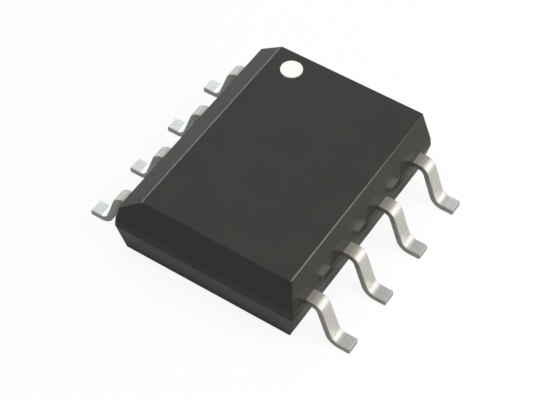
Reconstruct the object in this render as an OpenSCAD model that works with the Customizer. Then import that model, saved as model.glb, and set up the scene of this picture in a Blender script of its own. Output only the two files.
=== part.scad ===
// Small-outline chip with eight leads: a moulded body, four gull-wing leads on each long side, and
// the die, paddle and wires sealed inside it. Millimetres, +Z up.
// The feet stand on z = 0 and the origin is the middle of their footprint. X runs across the body,
// from the side of leads 1 to 4 to the side of leads 5 to 8. Leads 1 and 8 are at the +Y end.

/* [Moulded body] */
// Width across the leads, at the parting line
body_w = 3.98; // [3.7:0.01:4.4]
// From the centre of an outer lead to the end of the body, at the parting line
end_margin = 0.585; // [0.45:0.005:0.9]
// Gap between the seating plane and the underside
standoff = 0.10; // [0.05:0.01:0.25]
// Thickness below the parting line
lower_h = 0.82; // [0.65:0.01:1.0]
// Thickness above the parting line
upper_h = 0.83; // [0.7:0.01:1.0]
// Draft of the long sides above the parting line, degrees
side_draft_top = 11; // [5:0.5:15]
// Draft of the long sides below the parting line, degrees
side_draft_bottom = 10; // [5:0.5:15]
// Draft of the ends above the parting line, degrees
end_draft_top = 11; // [5:0.5:15]
// Draft of the ends below the parting line, degrees
end_draft_bottom = 9; // [5:0.5:15]
// Chamfer along the top edge over leads 1 to 4, as far across as down
chamfer = 0.43; // [0.25:0.01:0.5]
// Radius of the moulded edges that run along and across the body
edge_r = 0.03; // [0.02:0.005:0.06]

/* [Pin 1 mark] */
// Diameter of the ink dot
mark_d = 0.45; // [0.3:0.01:0.6]
// Thickness of the ink, and depth of the shallow pocket that holds it
mark_t = 0.02; // [0.02:0.005:0.05]
// From the upper edge of the chamfer to the dot's centre
mark_from_chamfer = 0.5; // [0.35:0.01:0.8]
// From the end edge of the top face to the dot's centre
mark_from_end = 0.41; // [0.35:0.01:0.8]

/* [Leads outside the body] */
// Distance between neighbouring leads
lead_pitch = 1.27; // [1.2:0.01:1.4]
// Width of a lead
lead_w = 0.30; // [0.28:0.01:0.48]
// Thickness of the leads and of the paddle, all cut from one sheet
sheet_t = 0.13; // [0.13:0.01:0.2]
// Straight run between the body and the shoulder bend
stub_len = 0.10; // [0.05:0.01:0.3]
// Inside radius of the shoulder bend
shoulder_r = 0.135; // [0.1:0.005:0.2]
// Lean of the leg from the vertical, degrees
leg_lean = 19; // [5:1:25]
// Inside radius of the bend above the foot
ankle_r = 0.18; // [0.1:0.005:0.2]
// Flat length of the foot
foot_len = 0.23; // [0.2:0.01:0.6]

/* [Leads inside the body] */
// Length of the fingers of leads 2, 3, 6 and 7 inside the body
finger_len = 0.79; // [0.6:0.01:0.9]
// Width of the finger where it is widened to lock into the moulding
finger_w = 0.50; // [0.48:0.01:0.6]
// Depth of moulding outside the widened finger
lock_depth = 0.20; // [0.15:0.01:0.3]
// Gap between a finger and the paddle, and between a finger and a tie bar
finger_gap = 0.20; // [0.15:0.01:0.3]

/* [Paddle] */
// How far the paddle is set below the leads
paddle_drop = 0.15; // [0.1:0.01:0.2]
// Width of the tie bar at each end of the paddle
tie_bar_w = 0.30; // [0.2:0.01:0.5]
// Length of tie bar at the paddle's level before it rises to the level of the leads
tie_bar_run = 0.20; // [0.1:0.01:0.3]
// Moulding left over the end of a tie bar
tie_bar_cover = 0.10; // [0.05:0.01:0.2]

/* [Die] */
// Width of the die, across the body
die_w = 1.30; // [1.0:0.01:1.6]
// Length of the die, along the body
die_l = 1.70; // [1.5:0.01:2.2]
// Thickness of the die
die_t = 0.25; // [0.2:0.01:0.3]
// Thickness of the adhesive under the die
attach_t = 0.03; // [0.02:0.005:0.05]
// How far the adhesive spreads past the die
attach_spread = 0.08; // [0.05:0.01:0.15]

/* [Bond wires] */
// Diameter of the wire
wire_d = 0.05; // [0.04:0.005:0.06]
// Height of a loop's highest point over the die, to the wire's centre
loop_h = 0.20; // [0.15:0.01:0.25]
// Radius of the bend at the top of a loop, to the wire's centre
loop_r = 0.10; // [0.08:0.01:0.12]
// Distance between neighbouring pads on the die
pad_pitch = 0.42; // [0.3:0.01:0.45]
// From the die's long edge to the centre of a pad
pad_inset = 0.12; // [0.1:0.01:0.2]
// Diameter of the bond at either end of a wire
bond_d = 0.10; // [0.08:0.01:0.12]
// From the tip of a finger to the bond on it
bond_inset = 0.15; // [0.1:0.01:0.2]

/* [Hidden] */
PINS_PER_SIDE = 4;
PINS = [1 : 2 * PINS_PER_SIDE];
$fn = 48;

// Heights of the parting line, the faces of the sheet, and what is stacked on the paddle
parting_z = standoff + lower_h;
top_z = parting_z + upper_h;
sheet_top = parting_z + sheet_t / 2;
sheet_bottom = parting_z - sheet_t / 2;
paddle_top = sheet_top - paddle_drop;
attach_top = paddle_top + attach_t;
die_top = attach_top + die_t;

// Half sizes of the body at the parting line, and how far the draft brings each face in
outer_lead_y = (PINS_PER_SIDE - 1) / 2 * lead_pitch;
half_w = body_w / 2;
half_l = outer_lead_y + end_margin;
side_in_top = upper_h * tan(side_draft_top);
side_in_bottom = lower_h * tan(side_draft_bottom);
end_in_top = upper_h * tan(end_draft_top);
end_in_bottom = lower_h * tan(end_draft_bottom);
chamfer_top_x = side_in_top + chamfer - half_w;

// Paddle and fingers keep their clearances from the body's sides and from each other
paddle_half_w = half_w - finger_len - finger_gap;
paddle_half_l = outer_lead_y - finger_w / 2 - finger_gap;
outer_finger_tip_x = tie_bar_w / 2 + finger_gap;

function on_left(pin) = pin <= PINS_PER_SIDE;
function row(pin) = on_left(pin) ? pin : 2 * PINS_PER_SIDE + 1 - pin;
function steps_from_middle(pin) = (PINS_PER_SIDE + 1) / 2 - row(pin);
function lead_y(pin) = steps_from_middle(pin) * lead_pitch;
function is_outer(pin) = abs(steps_from_middle(pin)) > 1;
function finger_tip_x(pin) = is_outer(pin) ? outer_finger_tip_x : paddle_half_w + finger_gap;

function unit(v) = v / norm(v);
function towards(points, i, step) =
    unit(points[(i + step + len(points)) % len(points)] - points[i]);
function half_angle(points, i) =
    acos(towards(points, i, -1) * towards(points, i, 1)) / 2;
function corner_points(points, radii, i) =
    let (reach = radii[i] / tan(half_angle(points, i)))
    radii[i] == 0
        ? [points[i]]
        : [for (step = [-1, 1]) points[i] + reach * towards(points, i, step)];

// A polygon whose corner i is an arc of radii[i], or sharp where that is 0
module rounded_polygon(points, radii) {
    polygon([for (i = [0 : len(points) - 1]) each corner_points(points, radii, i)]);
    for (i = [0 : len(points) - 1]) if (radii[i] > 0) {
        bisector = unit(towards(points, i, -1) + towards(points, i, 1));
        translate(points[i] + bisector * radii[i] / sin(half_angle(points, i)))
            circle(r = radii[i]);
    }
}

// Draws a shape of the X-Z plane as a bar along Y, centred on y = 0
module bar_along_y(length) {
    rotate([90, 0, 0]) linear_extrude(length, center = true) children();
}

// Draws a shape of the Y-Z plane as a bar along X, centred on x = 0
module bar_along_x(length) {
    rotate([90, 0, 90]) linear_extrude(length, center = true) children();
}

// Section across the body: drafted sides above and below the parting line, one chamfered edge
module cross_section() {
    rounded_polygon(
        [
            [side_in_bottom - half_w, standoff],
            [half_w - side_in_bottom, standoff],
            [half_w, parting_z],
            [half_w - side_in_top, top_z],
            [chamfer_top_x, top_z],
            [
                (upper_h - chamfer) * tan(side_draft_top) - half_w,
                top_z - chamfer
            ],
            [-half_w, parting_z]
        ],
        [edge_r, edge_r, 0, edge_r, edge_r, edge_r, 0]
    );
}

// Section along the body: drafted ends above and below the parting line
module long_section() {
    rounded_polygon(
        [
            [end_in_bottom - half_l, standoff],
            [half_l - end_in_bottom, standoff],
            [half_l, parting_z],
            [half_l - end_in_top, top_z],
            [end_in_top - half_l, top_z],
            [-half_l, parting_z]
        ],
        [edge_r, edge_r, 0, edge_r, edge_r, 0]
    );
}

// The moulding without the cavities that its contents fill
module mould_blank() {
    intersection() {
        bar_along_y(2 * half_l) cross_section();
        bar_along_x(2 * half_w) long_section();
    }
}

module mark_disc() {
    translate([chamfer_top_x + mark_from_chamfer, half_l - end_in_top - mark_from_end, top_z - mark_t])
        cylinder(d = mark_d, h = mark_t);
}

// A lead is one strip of sheet seen from its edge. Each piece of the strip starts at the origin,
// lies on y = 0 and runs along +X, and places its children at its own far end.
module straight(length) {
    square([length, sheet_t]);
    translate([length, 0]) children();
}

module half_plane(side) {
    reach = 2 * (shoulder_r + ankle_r + sheet_t);
    translate([side > 0 ? 0 : -reach, -reach]) square([reach, 2 * reach]);
}

// Turns up where turn is positive and down where it is negative, in degrees
module bend(inside_r, turn) {
    centre_y = turn > 0 ? sheet_t + inside_r : -inside_r;
    translate([0, centre_y]) {
        intersection() {
            difference() {
                circle(r = inside_r + sheet_t);
                circle(r = inside_r);
            }
            half_plane(1);
            rotate(turn) half_plane(-1);
        }
        rotate(turn) translate([0, -centre_y]) children();
    }
}

// The whole strip, from the tip of the finger to the tip of the foot. The leg is as long as the
// height of the body asks, so that the foot's underside is at y = 0.
module gull_wing(tip_x) {
    turn = 90 - leg_lean;
    bends_drop = (shoulder_r + ankle_r + sheet_t) * (1 - cos(turn));
    leg_len = (sheet_bottom - bends_drop) / sin(turn);
    translate([tip_x, sheet_bottom])
        straight(half_w - tip_x + stub_len)
        bend(shoulder_r, -turn)
        straight(leg_len)
        bend(ankle_r, turn)
        straight(foot_len);
}

// Lead on the +X side or turned round to the -X side, with its finger widened inside the body
module lead(pin) {
    tip_x = finger_tip_x(pin);
    color([0.80, 0.80, 0.78])
        translate([0, lead_y(pin), 0]) rotate([0, 0, on_left(pin) ? 180 : 0]) {
            bar_along_y(lead_w) gull_wing(tip_x);
            translate([tip_x, -finger_w / 2, sheet_bottom])
                cube([half_w - lock_depth - tip_x, finger_w, sheet_t]);
        }
}

// Tie bar seen from its edge: along the paddle's level, up at 45 degrees, then level with the leads
module tie_bar_section() {
    start = paddle_half_l;
    rise = start + tie_bar_run;
    level = rise + paddle_drop;
    end = half_l - tie_bar_cover;
    polygon([
        [start, paddle_top],
        [rise, paddle_top],
        [level, sheet_top],
        [end, sheet_top],
        [end, sheet_bottom],
        [level, sheet_bottom],
        [rise, paddle_top - sheet_t],
        [start, paddle_top - sheet_t]
    ]);
}

module die_paddle() {
    color([0.72, 0.45, 0.30]) {
        translate([-paddle_half_w, -paddle_half_l, paddle_top - sheet_t])
            cube([2 * paddle_half_w, 2 * paddle_half_l, sheet_t]);
        for (turn = [0, 180])
            rotate([0, 0, turn]) bar_along_x(tie_bar_w) tie_bar_section();
    }
}

module die_attach() {
    color([0.55, 0.56, 0.58])
        translate([-die_w / 2 - attach_spread, -die_l / 2 - attach_spread, paddle_top])
            cube([die_w + 2 * attach_spread, die_l + 2 * attach_spread, attach_t]);
}

module silicon_die() {
    color([0.35, 0.37, 0.42])
        translate([-die_w / 2, -die_l / 2, attach_top])
            cube([die_w, die_l, die_t]);
}

module half_space() {
    reach = 2 * (loop_r + wire_d);
    translate([-reach, -reach, 0]) cube([2 * reach, 2 * reach, reach]);
}

// A wire's loop in its own X-Z plane, from the bond at x = 0 and z = 0 to one at x = span and
// z = -drop: straight up, round a bend, and straight down the tangent to the far bond
module loop(span, drop) {
    centre = [loop_r, loop_h - loop_r];
    sight = [span, wire_d / 2 - drop] - centre;
    tangent = atan2(sight.y, sight.x) + acos(loop_r / norm(sight));

    cylinder(d = bond_d, h = wire_d);
    cylinder(d = wire_d, h = centre.y);
    translate([centre.x, 0, centre.y]) {
        intersection() {
            rotate([90, 0, 0]) rotate_extrude() translate([loop_r, 0]) circle(d = wire_d);
            half_space();
            rotate([0, -tangent, 0]) half_space();
        }
        rotate([0, -tangent, 0]) mirror([0, 0, 1]) translate([loop_r, 0, 0])
            cylinder(d = wire_d, h = sqrt(norm(sight) ^ 2 - loop_r ^ 2));
    }
    translate([span, 0, -drop]) cylinder(d = bond_d, h = wire_d);
}

module bond_wire(pin) {
    side = on_left(pin) ? -1 : 1;
    pad = [side * (die_w / 2 - pad_inset), steps_from_middle(pin) * pad_pitch];
    bond = [side * (finger_tip_x(pin) + bond_inset), lead_y(pin)];
    run = bond - pad;
    color([0.95, 0.78, 0.35])
        translate([pad.x, pad.y, die_top]) rotate([0, 0, atan2(run.y, run.x)])
            loop(norm(run), die_top - sheet_top);
}

module mould_body() {
    color([0.20, 0.20, 0.20])
        difference() {
            mould_blank();
            mark_disc();
            die_paddle();
            die_attach();
            silicon_die();
            for (pin = PINS) {
                lead(pin);
                bond_wire(pin);
            }
        }
}

module pin_1_mark() {
    color([0.97, 0.97, 0.97]) mark_disc();
}

mould_body();
pin_1_mark();
die_paddle();
die_attach();
silicon_die();
for (pin = PINS) {
    lead(pin);
    bond_wire(pin);
}
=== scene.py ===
# %% [markdown]
# # A small-outline chip with eight gull-wing leads
#
# The part is a black epoxy block about 5 mm long that holds a silicon die, with four flat tin-plated
# leads folded out of each long side. The packed model is loaded first and never changed: its solids
# say where everything is. This lesson dresses it. The moulding, the leads and the white dot get new
# surfaces worked out from short formulas, and everything inside keeps its solid and gets a finish.

# %% Load the frame
import math

import bpy
import numpy as np
from mathutils import Matrix, Vector


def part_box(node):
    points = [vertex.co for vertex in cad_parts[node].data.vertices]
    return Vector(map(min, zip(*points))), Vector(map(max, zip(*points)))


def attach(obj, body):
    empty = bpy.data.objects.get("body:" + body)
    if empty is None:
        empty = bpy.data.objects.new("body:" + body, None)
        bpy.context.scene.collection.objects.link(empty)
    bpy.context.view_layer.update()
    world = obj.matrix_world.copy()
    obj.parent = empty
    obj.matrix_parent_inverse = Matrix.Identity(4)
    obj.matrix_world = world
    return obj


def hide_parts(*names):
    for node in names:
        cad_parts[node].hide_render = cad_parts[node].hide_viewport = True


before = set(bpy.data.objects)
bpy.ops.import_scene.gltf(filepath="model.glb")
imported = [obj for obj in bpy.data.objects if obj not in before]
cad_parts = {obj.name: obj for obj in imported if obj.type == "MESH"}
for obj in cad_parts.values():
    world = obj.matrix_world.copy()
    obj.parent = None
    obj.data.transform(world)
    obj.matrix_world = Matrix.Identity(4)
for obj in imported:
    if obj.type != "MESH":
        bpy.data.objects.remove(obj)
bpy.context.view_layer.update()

MM = 0.001
TINY = 1e-9

# %% [markdown]
# ## Camera
#
# The chip is seen from above and from its pin 5 corner, through a long lens. A camera could be turned
# by hand until it looks right. Here its place follows from measured values instead: two angles, a
# small roll, a distance and the point that it looks at. The three columns of its matrix are the
# directions right, up and back, so no tracking constraint is needed.

# %% Camera
AZIMUTH, ELEVATION, ROLL = (math.radians(v) for v in (32.92, 51.92, 0.26))
DISTANCE = 30.46 * MM
TARGET = np.array([0.274, -0.284, 0.8]) * MM
SENSOR_WIDTH, FOCAL_LENGTH = 36, 103.573
NEAREST, FURTHEST = 1 * MM, 2000 * MM

back = np.array([
    math.sin(AZIMUTH) * math.cos(ELEVATION),
    -math.cos(AZIMUTH) * math.cos(ELEVATION),
    math.sin(ELEVATION),
])
level = np.array([math.cos(AZIMUTH), math.sin(AZIMUTH), 0])
upright = np.cross(back, level)
right = math.cos(ROLL) * level + math.sin(ROLL) * upright
up = math.cos(ROLL) * upright - math.sin(ROLL) * level

lens = bpy.data.cameras.new("camera")
lens.sensor_width, lens.lens = SENSOR_WIDTH, FOCAL_LENGTH
lens.clip_start, lens.clip_end = NEAREST, FURTHEST
camera = bpy.data.objects.new("camera", lens)
bpy.context.collection.objects.link(camera)
camera.matrix_world = (
    Matrix.Translation(Vector(TARGET + DISTANCE * back))
    @ Matrix(np.column_stack([right, up, back]).tolist()).to_4x4()
)
bpy.context.scene.camera = camera
bpy.context.scene.view_settings.view_transform = "Standard"
print("camera at, in mm:", [round(v / MM, 2) for v in camera.matrix_world.translation])

# %% [markdown]
# ## Shader maths as Python sums
#
# A finish is a small calculation on every point of a surface. Drawn by hand it is a web of nodes, and
# written out call by call it hides the sum that it stands for. A Wire holds one socket and knows what
# + - * / mean, so that 1 - mask * 0.3 adds its Math nodes by itself. Any other node comes from one
# method, Tree.node, which takes the node's type, its settings and what goes into its sockets.

# %% Wire and Tree
class Wire:
    """The output socket of a node. Sums and products on it add Math nodes to the same tree."""

    def __init__(self, tree, socket):
        self.tree, self.socket = tree, socket

    def maths(self, operation, *values):
        sockets = dict(enumerate((self, *values)))
        return self.tree.node("ShaderNodeMath", {"operation": operation}, sockets)

    def __add__(self, other):
        return self.maths("ADD", other)

    def __sub__(self, other):
        return self.maths("SUBTRACT", other)

    def __rsub__(self, other):
        return self * -1 + other

    def __mul__(self, other):
        return self.maths("MULTIPLY", other)

    def __truediv__(self, other):
        return self.maths("DIVIDE", other)

    def __abs__(self):
        return self.maths("ABSOLUTE")

    __radd__ = __add__
    __rmul__ = __mul__

    def between(self, low, high, start=0.0, end=1.0):
        """start below low, end above high, and a smooth step between them."""
        return self.tree.node(
            "ShaderNodeMapRange",
            {"interpolation_type": "SMOOTHSTEP"},
            {"Value": self, "From Min": low, "From Max": high, "To Min": start, "To Max": end},
        )


class Tree:
    """A node tree that is filled by calls: node() adds one node and returns one of its outputs."""

    def __init__(self, owner):
        owner.use_nodes = True
        self.owner, self.nodes, self.links = owner, owner.node_tree.nodes, owner.node_tree.links
        self.nodes.clear()

    def node(self, kind, settings=None, sockets=None, output=0):
        made = self.nodes.new(kind)
        for name, value in (settings or {}).items():
            setattr(made, name, value)
        for name, value in (sockets or {}).items():
            self.plug(made, name, value)
        usable = [s for s in made.outputs if s.enabled]
        if not usable:
            return made
        wanted = output if isinstance(output, int) else [s.name for s in usable].index(output)
        return Wire(self, usable[wanted])

    def plug(self, made, name, value):
        usable = [s for s in made.inputs if s.enabled]
        socket = usable[name] if isinstance(name, int) else next(s for s in usable if s.name == name)
        if isinstance(value, Wire):
            self.links.new(value.socket, socket)
        else:
            socket.default_value = value

    def blend(self, amount, first, second):
        """The colour that is first where amount is 0 and second where it is 1."""
        return self.node(
            "ShaderNodeMix", {"data_type": "RGBA"}, {"Factor": amount, "A": first, "B": second}
        )

    def noise(self, where, size, detail=2.0, roughness=0.5):
        """Smooth random values about 0.5, with features about size mm across."""
        return self.node(
            "ShaderNodeTexNoise",
            {},
            {"Vector": where, "Scale": 1 / size, "Detail": detail, "Roughness": roughness},
        )


print("sums that a Wire can do:", [n.strip("_") for n, f in vars(Wire).items() if callable(f)][2:])

# %% [markdown]
# ## Studio
#
# The chip lies on a white sheet in soft light. The sheet could be made white by brighter lamps, but
# then pale metal would burn out. So the lamps stay plain, and the sheet and the sky turn white only
# for rays that come from the camera, a mirroring surface or glass, which Light Path tells apart. The
# sheet keeps a share of its real light, which is where the shadow shows.

# %% Sky
def seen_directly(tree, camera=1.0, glossy=1.0, glass=1.0):
    """A share for each ray that shows a thing: from the camera, from a glossy surface or through glass.
    It is 0 for the rays that only carry light."""
    flags = ("Is Camera Ray", "Is Glossy Ray", "Is Transmission Ray")
    seen = [tree.node("ShaderNodeLightPath", output=name) for name in flags]
    return seen[0] * camera + seen[1] * glossy + seen[2] * glass


WHITE = (1, 1, 1, 1)
SKY_LIGHT = 0.09
SKY_MIRRORED = 0.465

world = bpy.data.worlds.new("studio")
bpy.context.scene.world = world
sky = Tree(world)
sky.node("ShaderNodeOutputWorld", {}, {
    "Surface": sky.node("ShaderNodeMixShader", {}, {
        0: seen_directly(sky, glossy=SKY_MIRRORED),
        1: sky.node("ShaderNodeBackground", {}, {"Color": WHITE, "Strength": SKY_LIGHT}),
        2: sky.node("ShaderNodeBackground", {}, {"Color": WHITE, "Strength": 1.0}),
    }),
})
print("the sky lands", SKY_LIGHT, "and is mirrored at", SKY_MIRRORED)

# %% [markdown]
# A glossy black wall is drawn mostly by what it mirrors. Such surfaces are therefore shown about half
# of the sky's white, and a sheet with painted shade on it that only they see: a painted shadow darkest
# below the chip, grey painted shade beside it, a warm painted shade off its right side, a paler painted
# shade off its left side, and white further out. Each pair of distances says where one tone begins to
# turn into the next and where it has done so.

# %% Sheet
SHEET_SHOWN = 0.91
SHEET_MIRRORED = 0.3
BOUNCE = (0.40, 0.40, 0.395, 1)
PAPER = (0.93, 0.93, 0.93, 1)
PAINTED_SHADOW_UNDER = (0.20, 0.195, 0.175, 1)
PAINTED_SHADE_BESIDE = (0.46, 0.46, 0.446, 1)
PAINTED_WARM_SHADE = (0.30, 0.292, 0.257, 1)
PAINTED_PALE_SHADE = (0.52, 0.52, 0.52, 1)
PAST_SIDE, PAST_END = (2.05, 2.5), (2.38, 2.5)
TO_COOL, TO_WARM, TO_WHITE = (-4.2, -2.8), (1.98, 2.2), (10, 30)

sheet = bpy.data.materials.new("white_sheet")
paper = Tree(sheet)
# The matt sheet is pale for the camera and glass, and a darker grey copy for all other rays, so
# reflections and bounced light see it as painted shade.
paper_tone = paper.blend(seen_directly(paper, glossy=0.0), BOUNCE, PAPER)
matt = paper.node("ShaderNodeBsdfDiffuse", {}, {"Color": paper_tone})
spot = paper.node("ShaderNodeTexCoord", {}, {}, "Object")
x, y = (paper.node("ShaderNodeSeparateXYZ", {}, {0: spot}, k) / MM for k in range(2))
from_chip = paper.node("ShaderNodeVectorMath", {"operation": "LENGTH"}, {0: spot}, "Value") / MM
# Painted shadow and shade, seen only in reflections: darkest under the chip, grey beside it, warm on
# the right, paler on the left.
past_chip = abs(x).between(*PAST_SIDE).maths("MAXIMUM", abs(y).between(*PAST_END))
painted_shade_around = paper.blend(past_chip, PAINTED_SHADOW_UNDER, PAINTED_SHADE_BESIDE)
painted_shade_around = paper.blend(x.between(*TO_WARM), painted_shade_around, PAINTED_WARM_SHADE)
painted_shade_around = paper.blend(x.between(*TO_COOL, 1, 0), painted_shade_around, PAINTED_PALE_SHADE)
near_chip = from_chip.between(*TO_WHITE, 1, 0)
mirrored = paper.blend(seen_directly(paper, 0, near_chip, 0), WHITE, painted_shade_around)
glow = paper.node("ShaderNodeEmission", {}, {"Color": mirrored, "Strength": 1.0})
paper.node("ShaderNodeOutputMaterial", {}, {
    "Surface": paper.node("ShaderNodeMixShader", {}, {
        0: seen_directly(paper, SHEET_SHOWN, SHEET_MIRRORED, SHEET_SHOWN), 1: matt, 2: glow,
    }),
})
print("tones in", len(paper.nodes), "nodes")

# %% [markdown]
# The sheet itself is one square, so large that its edge stays far out of the picture.

# %% Floor
FLOOR_HALF = 400 * MM
floor_mesh = bpy.data.meshes.new("floor")
floor_mesh.from_pydata(
    [(x * FLOOR_HALF, y * FLOOR_HALF, 0) for x, y in ((-1, -1), (1, -1), (1, 1), (-1, 1))],
    [], [(0, 1, 2, 3)],
)
floor_mesh.materials.append(sheet)
floor = bpy.data.objects.new("floor", floor_mesh)
bpy.context.collection.objects.link(floor)
print("floor half side in mm:", FLOOR_HALF / MM)

# %% [markdown]
# Four lamps share the work. Two large fills, one overhead and a warmer one from the right, light the
# matt surfaces and cast the soft shadow, but are left out of reflections, where they would show as
# hard white squares. Two panels low on either side do the opposite. They are only seen in mirroring
# surfaces, so they light up the bends of the tin and the tops of the feet, warm on the right and cool
# on the left, and leave the near end dark.
#
# A lamp's power says little by itself, so each lamp is given by the light that it lands on the chip:
# power = light * pi * pi * distance squared, for a small lamp that faces what it lights. A row of
# LAMPS is one lamp: its name, the direction it stands in, its distance and its width and height in mm,
# its light and colour, and whether it lights matt surfaces and whether it shows in mirroring ones.

# %% Lamps
def soft_box(name, direction, distance, size, light, colour, lights, mirrored):
    """A lamp of size (width, height) mm that faces the chip. light 1 makes a white card that faces it
    render white. It may light matt surfaces, be seen in mirroring ones, or both."""
    lamp = bpy.data.lights.new(name, "AREA")
    lamp.shape, lamp.size, lamp.size_y = "RECTANGLE", size[0] * MM, size[1] * MM
    lamp.energy = light * (math.pi * distance * MM) ** 2
    lamp.color = colour
    placed = bpy.data.objects.new(name, lamp)
    bpy.context.collection.objects.link(placed)
    way = Vector(direction).normalized()
    placed.location = way * distance * MM
    placed.rotation_mode = "QUATERNION"
    placed.rotation_quaternion = way.to_track_quat("Z", "Y")
    placed.visible_diffuse, placed.visible_glossy = lights, mirrored
    return placed


LAMPS = [
    ("panel_right", (0.70, 0.52, 0.50), 80, (50, 75), 0.15, (1.0, 0.97, 0.90), False, True),
    ("panel_left", (-0.80, 0.42, 0.42), 80, (110, 66), 0.385, (0.80, 0.92, 1.0), False, True),
    ("fill_right", (0.80, 0.30, 0.40), 90, (80, 80), 0.95, (1.0, 0.96, 0.89), True, False),
    ("fill_overhead", (-0.05, 0.02, 1), 90, (80, 80), 0.75, (1.0, 1.0, 0.98), True, False),
]
for row in LAMPS:
    soft_box(*row)

# %% [markdown]
# ## Surfaces from rings
#
# Every new piece here is a stack of closed rings, such as the outline of a block at each height, or
# the section of a strip at each step along its bend. A ring is one row of a table of points. Rows
# are joined by quads, and the first and last ring are closed by a fan to their middle. The volume
# under the faces comes out negative if they look inwards, so its sign says whether to turn them.

# %% Rings to mesh
def solid_from_rings(name, rings, strip=None):
    """A closed body from rings[row, column] = (x, y, z) in mm. Quads join row i to row i + 1 and
    column j to column j + 1, the last column to the first. Two fans close the ends. strip, if given,
    is a vector for every ring point, kept on the mesh as the attribute strip."""
    rows, columns = rings.shape[:2]
    ends = rings[[0, -1]].mean(1)
    points = np.concatenate([rings.reshape(-1, 3), ends])
    row, column = np.meshgrid(np.arange(rows - 1), np.arange(columns), indexing="ij")
    after = (column + 1) % columns
    quads = np.stack([
        row * columns + column, row * columns + after,
        (row + 1) * columns + after, (row + 1) * columns + column,
    ], -1).reshape(-1, 4)
    edge = np.arange(columns)
    turn = (edge + 1) % columns
    last = (rows - 1) * columns
    fans = np.concatenate([
        np.stack([turn, edge, np.full(columns, rows * columns)], -1),
        np.stack([last + edge, last + turn, np.full(columns, rows * columns + 1)], -1),
    ])
    triangles = np.concatenate([quads[:, :3], quads[:, [0, 2, 3]], fans])
    a, b, c = (points[triangles[:, k]] for k in range(3))
    if np.einsum("ij,ij->", a, np.cross(b, c)) < 0:
        quads, fans = quads[:, ::-1], fans[:, ::-1]
    mesh = bpy.data.meshes.new(name)
    mesh.from_pydata((points * MM).tolist(), [], quads.tolist() + fans.tolist())
    mesh.polygons.foreach_set("use_smooth", np.ones(len(mesh.polygons), bool))
    if strip is not None:
        values = np.concatenate([strip.reshape(-1, 3), strip[[0, -1]].mean(1)])
        mesh.attributes.new("strip", "FLOAT_VECTOR", "POINT").data.foreach_set(
            "vector", values.astype(np.float32).ravel()
        )
    piece = bpy.data.objects.new(name, mesh)
    bpy.context.collection.objects.link(piece)
    return piece


def eased(count, start=0.0, end=1.0):
    """count numbers from start to end, crowded towards both: halfway up a cosine."""
    return start + (end - start) * (1 - np.cos(np.linspace(0, math.pi, count))) / 2


print("eased(5) =", eased(5).round(3))

# %% [markdown]
# ## The moulding
#
# The block is cast in two mould halves, so its sides lean inwards above and below a parting line, and
# one long top edge is cut off at a slant. A box with a Bevel modifier would round every edge alike.
# Instead the block is described by how far each side stands out at each height: a few straight lines,
# with a circle let in at each corner. Any level cut through it is then a rectangle with small round
# corners, and the whole skin is one function of the height and of the way round.

# %% Outline of each side
body_low, body_high = ([v / MM for v in corner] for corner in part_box("mould_body"))
HALF_WIDTH, HALF_LENGTH = body_high[0], body_high[1]
UNDERSIDE, TOP = body_low[2], body_high[2]
PARTING = 0.92
CHAMFER = 0.43
TOP_DRAFT, SIDE_DRAFT, END_DRAFT = 11, 10, 9
EDGE_R = 0.028
FOOT_EDGE_R = 0.014
BAND = (PARTING - 0.105, PARTING + 0.075)
BAND_IN = 0.014
BAND_R = 0.25


def lean(degrees, height):
    """How far a wall that leans by degrees moves in over a height."""
    return math.tan(math.radians(degrees)) * height


def standing_out(heights, corners, radii):
    """How far a wall stands out at each height. corners are (reach, height) from the underside to the
    top, with the two ends on the flat faces. Between corners it is a straight line. Near a corner it
    is the circle that touches both its lines: middle + sqrt(r squared - height from it squared)."""
    corners = np.array(corners, float)
    reach = np.interp(heights, corners[1:-1, 1], corners[1:-1, 0])
    for before, corner, after, radius in zip(corners, corners[1:], corners[2:], radii):
        down, upwards = before - corner, after - corner
        down, upwards = down / np.linalg.norm(down), upwards / np.linalg.norm(upwards)
        half = math.acos(down @ upwards) / 2
        bisector = (down + upwards) / np.linalg.norm(down + upwards)
        middle = corner + bisector * radius / math.sin(half)
        low = (corner + down * radius / math.tan(half))[1]
        high = (corner + upwards * radius / math.tan(half))[1]
        near = (heights >= low - TINY) & (heights <= high + TINY)
        rise = np.clip(heights[near] - middle[1], -radius, radius)
        reach[near] = middle[0] + np.sqrt(radius**2 - rise**2)
    return reach


def wall(half, top_lean, bottom_lean, shoulder=()):
    """The corners of one wall, from the underside's middle to the top's middle."""
    foot = (half - lean(bottom_lean, PARTING - UNDERSIDE), UNDERSIDE)
    if not shoulder:
        shoulder = [(half - lean(top_lean, TOP - PARTING), TOP)]
    return [(0, UNDERSIDE), foot, (half, BAND[0]), (half - BAND_IN, BAND[1]), *shoulder, (0, TOP)]


right_edge = HALF_WIDTH - lean(TOP_DRAFT, TOP - PARTING)
slope_top = right_edge - CHAMFER
chamfer = [(HALF_WIDTH - lean(TOP_DRAFT, TOP - CHAMFER - PARTING), TOP - CHAMFER), (slope_top, TOP)]
right_wall = wall(HALF_WIDTH, TOP_DRAFT, SIDE_DRAFT)
left_wall = wall(HALF_WIDTH, TOP_DRAFT, SIDE_DRAFT, chamfer)
end_wall = wall(HALF_LENGTH, TOP_DRAFT, END_DRAFT)
print("chamfer from", np.round(chamfer, 3).tolist())

# %% [markdown]
# A corner only looks round if enough levels cut through it, and long flat walls need few. The levels
# are therefore crowded where the circles are. Rows just outside a circle hold the flat faces flat, so
# that smooth shading does not spread the roundness over them.

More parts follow.
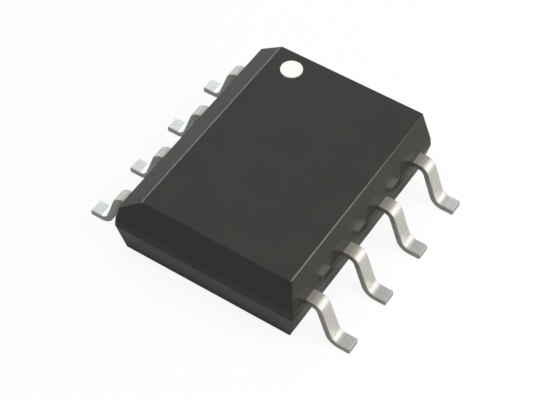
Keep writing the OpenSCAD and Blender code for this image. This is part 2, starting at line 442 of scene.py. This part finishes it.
# %% Levels and the way round
CORNER_R = (0.012, 0.055)
BAND_ROWS = (-0.130, 0.090)
SLANT_ROWS = 0.037
HOLD = 0.002
EDGE_ARC, EDGE_ROWS = math.radians(82), 12
arc = 1 - np.cos(np.linspace(0, EDGE_ARC, EDGE_ROWS))
levels = np.unique(np.concatenate([
    UNDERSIDE + FOOT_EDGE_R * arc,
    eased(8, UNDERSIDE + FOOT_EDGE_R + HOLD, PARTING + BAND_ROWS[0] - 2 * HOLD),
    PARTING + np.linspace(*BAND_ROWS, 31),
    eased(6, PARTING + BAND_ROWS[1] + HOLD, TOP - CHAMFER - SLANT_ROWS),
    TOP - CHAMFER + np.linspace(HOLD - SLANT_ROWS, SLANT_ROWS - HOLD, 17),
    eased(8, TOP - CHAMFER + SLANT_ROWS, TOP - EDGE_R - HOLD),
    TOP - EDGE_R * arc,
]).round(6))


def way_round(side_steps=28, corner_steps=9):
    """For each column: a and b, which run from -1 to 1 along the sides of a rectangle, and the angle of
    the corner circle. Side columns hold the angle, corner columns hold a and b."""
    along = np.sin(np.linspace(-1, 1, side_steps) * math.pi / 2)[1:-1]
    swing = np.linspace(0, math.pi / 2, corner_steps)
    a, b, angle = [], [], []
    for quarter, (ca, cb) in enumerate([(1, 1), (-1, 1), (-1, -1), (1, -1)]):
        an_end = quarter % 2 == 0
        a += [np.full(corner_steps, ca), -ca * along if an_end else np.full(len(along), ca)]
        b += [np.full(corner_steps, cb), np.full(len(along), cb) if an_end else -cb * along]
        angle += [swing + quarter * math.pi / 2, np.full(len(along), (quarter + 1) * math.pi / 2)]
    return np.concatenate(a), np.concatenate(b), np.concatenate(angle)


side_a, side_b, side_angle = way_round()
print(len(levels), "levels,", len(side_a), "columns")

# %% [markdown]
# The walls could be made one by one and stitched at the corners. Here all levels are worked out at
# once: a table with a row for each level and a column for each step of the way round.

# %% Walls of the moulding
def block_ring(height):
    """Level cuts of the block. x = middle + a * (half width - r) + r cos(angle), and y likewise with b
    and the sine, where the middle and half width come from how far left and right walls stand out."""
    radii = [FOOT_EDGE_R, BAND_R, BAND_R, EDGE_R]
    right_out = standing_out(height, right_wall, radii)[:, None]
    left_out = standing_out(height, left_wall, [*radii, EDGE_R])[:, None]
    end_out = standing_out(height, end_wall, radii)[:, None]
    radius = np.interp(height, (UNDERSIDE, PARTING), CORNER_R)[:, None]
    x = (right_out - left_out) / 2 + side_a * ((right_out + left_out) / 2 - radius)
    y = side_b * (end_out - radius)
    z = np.broadcast_to(height[:, None], x.shape)
    return np.stack([x + radius * np.cos(side_angle), y + radius * np.sin(side_angle), z], -1)


walls = block_ring(levels)
print("walls, in mm:", walls.min((0, 1)).round(4), walls.max((0, 1)).round(4))

# %% [markdown]
# The dot's shallow dimple sits in the top face. A hole could be cut by a Boolean, which leaves long
# thin triangles that catch the light. Here the rings of the top simply run inwards from the rim of the
# block to the rim of the dimple: each point slides along the line from its place on the rim to the
# dot's middle. The dimple is the end of the same stack of rings, so nothing is cut at all.

# %% Top, dimple and underside
mark_low, mark_high = ([v / MM for v in corner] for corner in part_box("pin_1_mark"))
MARK = np.array([(mark_low[0] + mark_high[0]) / 2, (mark_low[1] + mark_high[1]) / 2])
MARK_R = (mark_high[0] - mark_low[0]) / 2
DIMPLE_DEPTH = TOP - mark_low[2]
LIP = 0.008


def shrunk(ring, shares, height):
    """Level rings from ring (share 0) towards the middle of the block (share 1)."""
    flat = ring[None, :, :2] * (1 - shares[:, None, None])
    return np.concatenate([flat, np.full(flat.shape[:2] + (1,), height)], -1)


rim = walls[-1]
bearing = np.arctan2(rim[:, 1] - MARK[1], rim[:, 0] - MARK[0])


def dimple_ring(radius, height):
    """A circle round the dot's middle, with its points on the bearings of the block's rim."""
    return np.stack([
        MARK[0] + radius * np.cos(bearing), MARK[1] + radius * np.sin(bearing),
        np.full(len(bearing), height),
    ], -1)


lip_circle = dimple_ring(MARK_R + LIP, TOP)
steps = eased(14)[1:, None, None]
top_rings = rim * (1 - steps) + lip_circle * steps
lip_turn = np.linspace(0, math.pi / 2, 5)[1:]
lip_in, lip_down = LIP / 2 * np.sin(lip_turn), LIP / 2 * (1 - np.cos(lip_turn))
dimple = [dimple_ring(MARK_R + LIP - near, TOP - down) for near, down in zip(lip_in, lip_down)]
dimple += [dimple_ring(reach, TOP - DIMPLE_DEPTH) for reach in (MARK_R + LIP / 2, MARK_R / 2)]
under_rings = shrunk(walls[0], eased(10)[:0:-1] * 0.98, UNDERSIDE)

block_rings = np.concatenate([under_rings, walls, top_rings, np.array(dimple)])
moulding = solid_from_rings("moulding", block_rings)
print("moulding:", len(moulding.data.vertices), "points")

# %% [markdown]
# ## The leads
#
# Each lead is punched from flat strip and then folded: out of the moulding, down, and out again to a
# foot. A box bent by a modifier would stretch at the folds. The strip's middle line is instead laid
# down as a chain of straight runs and arcs, and a small rectangle with rounded corners is carried
# along it, always square to it. Inside the moulding the strip widens to the finger that takes its
# bond wire. Every point also keeps its place on the unfolded strip, for the grain of the metal.

# %% Middle line of a lead
STRIP_T = 0.13
LEAD_W = 0.30
FINGER_W = 0.50
FINGER_END = HALF_WIDTH - 0.20
ROOT_Z = 0.92
STUB_END = HALF_WIDTH + 0.10
LEG_TURN = math.radians(71)
SHOULDER_R = 0.135 + STRIP_T / 2
ANKLE_R = 0.18 + STRIP_T / 2
drop = ROOT_Z - STRIP_T / 2
LEG = (drop - (SHOULDER_R + ANKLE_R) * (1 - math.cos(LEG_TURN))) / math.sin(LEG_TURN)
FOOT = 0.23
TIP_R = 0.012
STUB_STEPS, BEND_STEPS, LEG_STEPS, FOOT_STEPS = 24, 17, 8, 10


def folded_line(inner_end):
    """The middle line as (x, z, slope angle, distance) rows: straight out, an arc down through
    LEG_TURN, straight down the leg, an arc back to level, and the foot. x and z are the running sums of
    the cosine and the sine of the slope, taken at the middle of each step."""
    runs = [
        (eased(STUB_STEPS, inner_end, STUB_END), 0, 0),
        (SHOULDER_R * np.linspace(0, LEG_TURN, BEND_STEPS), 0, -LEG_TURN),
        (eased(LEG_STEPS, 0, LEG), -LEG_TURN, -LEG_TURN),
        (ANKLE_R * np.linspace(0, LEG_TURN, BEND_STEPS), -LEG_TURN, 0),
        (eased(FOOT_STEPS, 0, FOOT - TIP_R), 0, 0),
    ]
    distance, slope = [runs[0][0]], [np.zeros(len(runs[0][0]))]
    for reach, start, end in runs[1:]:
        share = (reach - reach[0]) / (reach[-1] - reach[0])
        distance.append(distance[-1][-1] + reach[1:])
        slope.append(start + (end - start) * share[1:])
    distance, slope = np.concatenate(distance), np.concatenate(slope)
    step, turn = np.diff(distance), np.diff(slope)
    half_turn = np.where(abs(turn) < TINY, 1, np.sin(turn / 2) / np.where(turn == 0, 1, turn / 2))
    middle = (slope[1:] + slope[:-1]) / 2
    x = inner_end + np.concatenate([[0], np.cumsum(step * half_turn * np.cos(middle))])
    z = ROOT_Z + np.concatenate([[0], np.cumsum(step * half_turn * np.sin(middle))])
    return x, z, slope, distance


line_x, line_z = folded_line(FINGER_END)[:2]
print("leg", round(LEG, 4), "mm; foot to", round(line_x[-1] + TIP_R, 4), "at", round(line_z[-1], 4))

# %% [markdown]
# A punched strip has a flat section with slightly rounded corners. It is drawn as four quarter circles
# joined by straight sides. The sides get points of their own, crowded to the corners, so that the grain
# of the metal and the smooth shading keep to the flat faces.

# %% Section of the strip
SECTION_R = 0.016


def section(width, thickness, radius, steps=5, side_points=4):
    """Points round rectangles with round corners, one row for each width: across = a * (width / 2 - r)
    + r cos(angle), and up likewise with the thickness and the sine. a is 1 or -1 at each corner."""
    width, thickness, radius = (np.atleast_1d(v)[:, None, None] for v in (width, thickness, radius))
    corner_a = np.array([1, -1, -1, 1])[:, None]
    corner_b = np.array([1, 1, -1, -1])[:, None]
    angle = np.linspace(0, math.pi / 2, steps) + np.arange(4)[:, None] * math.pi / 2
    across = corner_a * (width / 2 - radius) + radius * np.cos(angle)
    height = corner_b * (thickness / 2 - radius) + radius * np.sin(angle)
    flat = np.sin(np.linspace(-1, 1, side_points + 2)[1:-1] * math.pi / 2) / 2 + 0.5

    def with_sides(corners):
        following = np.roll(corners, -1, 1)[..., :1]
        sides = corners[..., -1:] * (1 - flat) + following * flat
        return np.concatenate([corners, sides], -1).reshape(len(corners), -1)

    return with_sides(across), with_sides(height)


print("section points:", section(LEAD_W, STRIP_T, SECTION_R)[0].shape[1])

# %% [markdown]
# Now the section is carried along the middle line. Eight copies of one lead would do for the outside,
# but the fingers inside reach different distances in, so each lead is worked out from its own solid:
# the box of the solid gives the side, the pin's place along the body and the end of the finger.

# %% One lead for every pin
TIP_STEPS = 6


def lead_rings(inner_end, side, y):
    """The section carried along the middle line. A point is middle line + up * (-sin slope, cos slope)
    in the plane of the fold, and its y is the pin's y plus across. The two ends are drawn in by a
    quarter circle, so that the cut edges are slightly round."""
    x, z, slope, distance = folded_line(inner_end)
    swing, still = np.linspace(0, math.pi / 2, TIP_STEPS), np.zeros(TIP_STEPS)
    inset = np.concatenate([
        TIP_R * (1 - np.sin(swing)), np.zeros(len(x) - 2), TIP_R * (1 - np.cos(swing)),
    ])
    ahead = TIP_R * np.sin(swing)
    x = np.concatenate([inner_end + TIP_R - TIP_R * np.cos(swing), x[1:-1], x[-1] + ahead])
    z = np.concatenate([still + z[0], z[1:-1], still + z[-1]])
    slope = np.concatenate([still, slope[1:-1], still])
    distance = np.concatenate([x[:TIP_STEPS], distance[1:-1], distance[-1] + ahead])
    width = np.where(x < FINGER_END, FINGER_W, LEAD_W) - 2 * inset
    across, height = section(width, STRIP_T - 2 * inset, SECTION_R * (1 - 0.6 * inset / TIP_R))
    x, z, slope, distance = (v[:, None] for v in (x, z, slope, distance))
    rings = np.stack([
        side * (x - height * np.sin(slope)), y + side * across, z + height * np.cos(slope),
    ], -1)
    return rings, np.stack([distance + 0 * across, across, height], -1)


leads = []
for pin in range(1, 9):
    low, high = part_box(f"lead_{pin}")
    side = 1 if low[0] > 0 else -1
    inner_end = min(abs(low[0]), abs(high[0])) / MM
    rings, places = lead_rings(inner_end, side, (low[1] + high[1]) / 2 / MM)
    leads.append(solid_from_rings(f"lead_strip_{pin}", rings, places))
    over = max(abs(v) for v in (rings.min((0, 1)) - np.array(low) / MM)[[0, 2]])
    print(f"lead {pin}: side {side:+d}, finger from {inner_end:.2f} mm, box differs by {over:.4f} mm")

# %% [markdown]
# ## The pin 1 dot
#
# The dot is white ink that fills the dimple, so that a person can tell which corner pin 1 is at. A
# flat disc would meet the black at a hard line. The ink has a rounded shoulder and sinks a little
# towards its middle as it dries, which is one curve turned round the dot's axis.

# %% Ink dot
def turned(profile, middle, columns=96):
    """(radius, height) rows turned round an upright axis: x = radius cos, y = radius sin."""
    angle = np.arange(columns) * 2 * math.pi / columns
    radius, height = np.array(profile).T
    return np.stack([
        middle[0] + radius[:, None] * np.cos(angle), middle[1] + radius[:, None] * np.sin(angle),
        np.broadcast_to(height[:, None], (len(radius), columns)),
    ], -1)


SINK = 0.002
INK_TOP, INK_BOTTOM = TOP - SINK, mark_low[2] + 0.0005
INK_R = 0.007
bend = np.linspace(0, math.pi / 2, 6)
flank = [(MARK_R - INK_R + INK_R * math.cos(t), INK_TOP - INK_R + INK_R * math.sin(t)) for t in bend]
dish = [(MARK_R * s, INK_TOP - SINK * (1 - s**2)) for s in (0.93, 0.8, 0.6, 0.4, 0.2, 0.05)]
foot = [(MARK_R * 0.1, INK_BOTTOM), (MARK_R, INK_BOTTOM)]
dot = solid_from_rings("ink_dot", turned(foot + flank + dish, MARK))
print("dot:", round(2 * MARK_R, 3), "mm across at", MARK.round(3))

# %% [markdown]
# ## Finishes
#
# A finish ends in one Principled shader. What is the same all over is a number on its own socket, and
# only what changes over the surface is linked. Patterns are laid out in millimetres: positions come
# from Object coordinates and are multiplied by 1000 first, so a noise size reads as a real size.

# %% Finish helpers
def finish(name):
    """A new material as a Tree, and the place on the piece in mm."""
    tree = Tree(bpy.data.materials.new(name))
    raw = tree.node("ShaderNodeTexCoord", {}, {}, "Object")
    where = tree.node("ShaderNodeVectorMath", {"operation": "SCALE"}, {"Vector": raw, "Scale": 1000})
    return tree, where


def stretched(tree, where, factors):
    """The place with each of its axes multiplied by its own factor."""
    return tree.node("ShaderNodeVectorMath", {"operation": "MULTIPLY"}, {0: where, 1: factors})


def principled(tree, constants, varying, height=None, bump=0.0, depth=0.001):
    """Ends a finish. constants sit on the sockets, varying are linked, height in mm makes the bump."""
    sockets = {**constants, **varying}
    if height is not None:
        sockets["Normal"] = tree.node(
            "ShaderNodeBump", {}, {"Height": height, "Strength": bump, "Distance": depth * MM}
        )
    shader = tree.node("ShaderNodeBsdfPrincipled", {}, sockets)
    tree.node("ShaderNodeOutputMaterial", {}, {"Surface": shader})
    return tree.owner


def stripe(distance, reach):
    """1 on a plane, fading to 0 at reach mm from it. distance is how far a point is from the plane."""
    return abs(distance).between(0, reach, 1, 0)


print("helpers:", [helper.__name__ for helper in (finish, stretched, principled, stripe)])

# %% [markdown]
# ### Epoxy
#
# The moulding is black epoxy filled with fine glass beads. Seen close, its skin is a fine grain with
# pale flecks where a bead shows, and it is smooth enough to mirror the leads faintly. A black of one
# value would look like a hole in the picture, so the colour, the gloss and the grain all vary, each
# at its own size.

# %% Epoxy grain
BLACK, PALER = (0.0283, 0.0283, 0.0262, 1), (0.0357, 0.0357, 0.0330, 1)
# The second colour on the next line is a painted highlight for the upper edges, not a colour of the
# epoxy.
BEAD, PAINTED_EDGE_HIGHLIGHT = (0.09, 0.09, 0.086, 1), (0.20, 0.20, 0.19, 1)
GRAIN_SIZE, CLOUD_SIZE, BEAD_SIZE = 0.022, 0.9, 0.012

tree, where = finish("black_epoxy")
grain = tree.noise(where, GRAIN_SIZE, 3, 0.6)
cloud = tree.noise(where, CLOUD_SIZE, 2, 0.5)
fleck = tree.noise(where, BEAD_SIZE, 0).between(0.70, 0.80)
shade = cloud.between(0.3, 0.7, 0.0, 0.5) + grain * 0.5
colour = tree.blend(shade, BLACK, PALER)
colour = tree.blend(fleck * 0.35, colour, BEAD)
print("sizes in mm: grain", GRAIN_SIZE, "cloud", CLOUD_SIZE, "bead", BEAD_SIZE)

# %% [markdown]
# The upper edges get a painted highlight, a pale line in the colour, the right one brightest near pin
# 5.
# An edge mask could be taken from the mesh, but then it would follow every small fold. An edge is where
# two planes meet, so each painted line is the product of two masks, one for the distance to each plane.

# %% Painted edge highlights
RIGHT_DOWN, RIGHT_REACH, RIGHT_IN = 0.011, 0.019, (0.025, 0.014)
RIGHT_FADE = (-1.5, 2.4, 0.95, 0.1)
LEFT_REACH, LEFT_DOWN = 0.027, (0.05, 0.03)
END_IN, END_REACH, SLANT_REACH = 0.02, 0.03, 0.035
LEFT_SHARE, END_SHARE = 1.2, 0.4

x, y, z = (tree.node("ShaderNodeSeparateXYZ", {}, {0: where}, k) for k in range(3))
slant = math.atan2(CHAMFER, chamfer[0][0] - slope_top)
above_slant = (x + slope_top) * -math.sin(slant) + (z - TOP) * math.cos(slant)
past_end = abs(y) - (HALF_LENGTH - (z - PARTING) * lean(TOP_DRAFT, 1))
on_right = stripe(z - (TOP - RIGHT_DOWN), RIGHT_REACH)
on_right = on_right * x.between(*(right_edge - reach for reach in RIGHT_IN)) * y.between(*RIGHT_FADE)
on_left = stripe(x + slope_top, LEFT_REACH) * z.between(*(TOP - down for down in LEFT_DOWN))
on_ends = stripe(above_slant, SLANT_REACH) * stripe(past_end + END_IN, END_REACH)
patchy = tree.noise(where, 0.5, 3, 0.6).between(0.2, 0.6, 0.6, 1.0)
# Painted highlight: pale colour along the upper edges where light would catch them, strongest on the
# right near pin 5.
painted_highlight = (on_right + on_left * LEFT_SHARE + on_ends * END_SHARE) * patchy
colour = tree.blend(painted_highlight, colour, PAINTED_EDGE_HIGHLIGHT)
epoxy = principled(
    tree,
    {"Specular IOR Level": 0.42},
    {"Base Color": colour, "Roughness": grain * 0.06 + 0.09},
    height=grain, bump=0.05, depth=0.004,
)
moulding.data.materials.append(epoxy)
print("epoxy on", moulding.name, "with a slant of", round(math.degrees(slant), 1), "degrees")

# %% [markdown]
# ### Tin plate
#
# The leads are copper strip under a few microns of matt tin. Rolling leaves faint streaks along the
# strip, and the plating has fine crystals. The pattern reads the attribute strip, the place on the
# unfolded strip, so the streaks follow the bends as they do on the real lead.

# %% Tin grain
TIN, TIN_WORN = (0.94, 0.935, 0.91, 1), (0.86, 0.85, 0.82, 1)
CRYSTAL_EDGE, MOTTLE = (0.55, 0.55, 0.53, 1), (0.45, 0.44, 0.42, 1)
# Both colours on the next line are painted shade: one for the stub beside the moulding, one for the
# punched sides.
PAINTED_STUB_SHADE, CUT_SIDE_SHADE = (0.39, 0.37, 0.31, 1), (0.36, 0.355, 0.335, 1)

tree, where = finish("tin_plate")
strip = tree.node(
    "ShaderNodeAttribute", {"attribute_name": "strip", "attribute_type": "GEOMETRY"}, {}, "Vector"
)
from_die, across = (tree.node("ShaderNodeSeparateXYZ", {}, {0: strip}, k) for k in range(2))
streak = tree.noise(stretched(tree, strip, (1, 16, 1)), 0.35, 4, 0.6)
crystal = tree.noise(where, 0.016, 2, 0.6)
blotch = tree.noise(where, 0.12, 2, 0.5)
mottle = tree.noise(where, 0.035, 1, 0.5)
worn = streak.between(0.35, 0.65, 0.0, 0.6) + blotch.between(0.3, 0.7, 0.0, 0.4)
colour = tree.blend(worn, TIN_WORN, TIN)
print("grain nodes:", len(tree.nodes))

# %% [markdown]
# The metal isn't alike all along the lead. The punched sides are rougher, and their colour is darker as
# painted shade for the dark floor under the chip that they mirror. Stub and leg keep the matt skin of
# the plating bath. The tool that folds the lead presses the foot flat, which leaves it more metallic.
# Beside the moulding the tin is darker as painted shade for the black moulding that it mirrors, up to
# where the bend begins. Each of these is a mask on the same unfolded strip.

# %% Tin along the lead
STUB_SHADE_END = (STUB_END + 0.06, STUB_END + 0.15)
SIDE_EDGE = (LEAD_W / 2 - 0.011, LEAD_W / 2 - 0.003)
ANKLE = STUB_END + SHOULDER_R * LEG_TURN + LEG

shaded_by_moulding = from_die.between(*STUB_SHADE_END, 1.0, 0.0)
cut_side = abs(across).between(*SIDE_EDGE)
pressed = from_die.between(ANKLE, ANKLE + ANKLE_R * LEG_TURN)
# Painted shade: the stub is darkened beside the moulding, where it mirrors the black moulding.
colour = tree.blend(shaded_by_moulding * 0.9, colour, PAINTED_STUB_SHADE)
colour = tree.blend(crystal.between(0.62, 0.75, 0.0, 0.5), colour, CRYSTAL_EDGE)
colour = tree.blend(mottle.between(0.35, 0.65, 0.22, 0.0), colour, MOTTLE)
# Painted shade: the punched sides are darkened, where they mirror the dark floor under the chip.
colour = tree.blend(cut_side * 0.55, colour, CUT_SIDE_SHADE)
roughness = 0.31 + streak * 0.05 + crystal * 0.05 + cut_side * 0.08 - shaded_by_moulding * 0.05
tin = principled(
    tree,
    {},
    {"Base Color": colour, "Metallic": 0.66 + pressed * 0.31, "Roughness": roughness},
    height=crystal * 0.5 + streak, bump=0.12, depth=0.002,
)
for strip_piece in leads:
    strip_piece.data.materials.append(tin)
print("tin on", len(leads), "leads, ankle from", round(ANKLE, 3), "mm along the strip")

# %% [markdown]
# ### White ink
#
# Ink laid on by a stamp is nearly even, but pure white would burn out. It is a little off white, matt,
# and thinner and thicker in places by the same noise that makes its faint relief.

# %% Ink
tree, where = finish("white_ink")
film = tree.noise(where, 0.05, 3, 0.6)
ink = principled(
    tree,
    {"Specular IOR Level": 0.4},
    {
        "Base Color": tree.blend(film.between(0.3, 0.7), (0.95, 0.95, 0.94, 1), (0.98, 0.98, 0.975, 1)),
        "Roughness": 0.45 + film * 0.2,
    },
    height=film, bump=0.15, depth=0.003,
)
dot.data.materials.append(ink)
print("ink on", dot.name)

# %% [markdown]
# ### Inside
#
# Nothing inside shows while the moulding is whole, but the part may be cut open, so each solid gets
# the finish that it has on the line: matt rolled copper, grey silver-filled adhesive, polished silicon
# with a faint lattice of circuit blocks, and bright drawn gold.

# %% Inner finishes
def copper():
    """Rolled copper: streaks along the body and a few darker, oxidised spots."""
    tree, where = finish("bare_copper")
    roll = tree.noise(stretched(tree, where, (14, 1, 14)), 0.5, 4, 0.6)
    spot = tree.noise(where, 0.08, 2, 0.5)
    colour = tree.blend(roll.between(0.3, 0.7), (0.70, 0.33, 0.20, 1), (0.82, 0.44, 0.29, 1))
    colour = tree.blend(spot.between(0.6, 0.75, 0.0, 0.5), colour, (0.45, 0.20, 0.12, 1))
    return principled(tree, {"Metallic": 1.0}, {"Base Color": colour, "Roughness": 0.3 + roll * 0.2},
                      height=roll, bump=0.2, depth=0.002)


def adhesive():
    """Silver flakes in a grey resin, metallic only where a flake shows."""
    tree, where = finish("silver_adhesive")
    flake = tree.noise(where, 0.02, 2, 0.6)
    colour = tree.blend(flake.between(0.45, 0.65), (0.42, 0.41, 0.39, 1), (0.68, 0.67, 0.65, 1))
    return principled(tree, {}, {"Base Color": colour, "Metallic": flake.between(0.5, 0.6, 0.1, 0.8),
                                 "Roughness": 0.6 - flake * 0.25}, height=flake, bump=0.4, depth=0.004)


def silicon():
    """A polished die with square circuit blocks, each of its own shade."""
    tree, where = finish("silicon")
    lanes = tree.node("ShaderNodeTexVoronoi", {"distance": "CHEBYCHEV", "feature": "F1"},
                      {"Vector": where, "Scale": 9.0, "Randomness": 0.7}, "Color")
    block = tree.node("ShaderNodeSeparateColor", {}, {0: lanes}, 0)
    haze = tree.noise(where, 0.2, 2, 0.5)
    colour = tree.blend(block, (0.12, 0.13, 0.17, 1), (0.24, 0.25, 0.30, 1))
    colour = tree.blend(haze * 0.3, colour, (0.20, 0.16, 0.24, 1))
    return principled(tree, {"Metallic": 0.6}, {"Base Color": colour, "Roughness": 0.12 + haze * 0.12})


def gold():
    """Drawn gold wire with a fine uneven gloss."""
    tree, where = finish("gold_wire")
    drawn = tree.noise(where, 0.02, 2, 0.5)
    colour = tree.blend(drawn, (0.90, 0.60, 0.22, 1), (1.0, 0.74, 0.34, 1))
    return principled(tree, {"Metallic": 1.0}, {"Base Color": colour, "Roughness": 0.16 + drawn * 0.12},
                      height=drawn, bump=0.1, depth=0.001)


def dress(nodes, material):
    """Gives CAD solids a finish through their own slots. Their meshes stay as they are."""
    for name in nodes:
        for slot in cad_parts[name].material_slots:
            slot.material = material


inner = {"die_paddle": copper, "die_attach": adhesive, "silicon_die": silicon}
for name, make in inner.items():
    dress([name], make())
dress([f"bond_wire_{pin}" for pin in range(1, 9)], gold())
print("finished inside:", sorted(inner), "and eight wires")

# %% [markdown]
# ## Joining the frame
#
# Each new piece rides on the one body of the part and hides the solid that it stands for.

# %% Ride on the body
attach(moulding, "root")
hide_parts("mould_body")
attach(dot, "root")
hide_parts("pin_1_mark")
for pin, strip_piece in enumerate(leads, 1):
    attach(strip_piece, "root")
    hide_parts(f"lead_{pin}")
